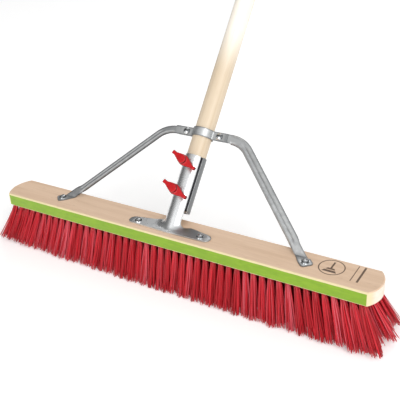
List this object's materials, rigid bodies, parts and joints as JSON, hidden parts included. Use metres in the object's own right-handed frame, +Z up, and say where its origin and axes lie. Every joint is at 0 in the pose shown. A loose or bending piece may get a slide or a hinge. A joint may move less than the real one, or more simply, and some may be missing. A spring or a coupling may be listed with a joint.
{
  "type": "push broom",
  "caption": "Wide push broom: wooden block with rows of bristle tufts, a slanted stick clamped in a sheet-steel socket by wing screws, and two steel braces.",
  "frame": {"origin": "on the floor under the middle of the block, in the plane of the bristle tips", "axes": "+X along the block to the right, -Y is the sweeping front, +Z up; the stick leans towards +Y"},
  "size_m": [0.632, 0.9669, 1.1764],
  "materials": {
    "block_wood": "matte",
    "stick_wood": "satin",
    "bristle": "satin",
    "galvanised_steel": "satin",
    "bright_zinc": "polished",
    "knob_plastic": "gloss"
  },
  "bodies": {
    "head": {"block": "block_wood", "bristle_row_1": "bristle", "bristle_row_2": "bristle", "bristle_row_3": "bristle", "bristle_row_4": "bristle", "bristle_row_5": "bristle", "tuft_anchors": "galvanised_steel", "stick_socket": "galvanised_steel", "socket_nuts": "galvanised_steel", "plate_screws": "bright_zinc", "plate_washers": "bright_zinc", "foot_screws": "bright_zinc", "foot_washers": "bright_zinc", "brace_left": "galvanised_steel", "brace_right": "galvanised_steel", "clamp_bolts": "bright_zinc", "clamp_nuts": "bright_zinc", "clamp_washers": "bright_zinc"},
    "stick": {"stick": "stick_wood"},
    "stud_upper": {"wing_stud_upper": "bright_zinc"},
    "knob_upper": {"wing_knob_upper": "knob_plastic"},
    "stud_lower": {"wing_stud_lower": "bright_zinc"},
    "knob_lower": {"wing_knob_lower": "knob_plastic"}
  },
  "joints": [
    {"name": "stick_slide", "type": "slide", "parent": "head", "child": "stick", "axis": [0, 0.6428, 0.766], "range_m": [0, 0.125]},
    {"name": "upper_screw_feed", "type": "slide", "parent": "head", "child": "stud_upper", "axis": [0, -0.766, 0.6428], "range_m": [0, 0.004]},
    {"name": "upper_knob_turn", "type": "hinge", "parent": "stud_upper", "child": "knob_upper", "pos_m": [0, 0.06378, 0.14888], "axis": [0, -0.766, 0.6428], "range_deg": [0, 1440]},
    {"name": "lower_screw_feed", "type": "slide", "parent": "head", "child": "stud_lower", "axis": [0, -0.766, 0.6428], "range_m": [0, 0.004]},
    {"name": "lower_knob_turn", "type": "hinge", "parent": "stud_lower", "child": "knob_lower", "pos_m": [0, 0.03678, 0.11671], "axis": [0, -0.766, 0.6428], "range_deg": [0, 1440]}
  ],
  "couplings": [
    {"joint": "upper_knob_turn", "follows": "upper_screw_feed", "rad_per_m": 6283.2},
    {"joint": "lower_knob_turn", "follows": "lower_screw_feed", "rad_per_m": 6283.2}
  ]
}
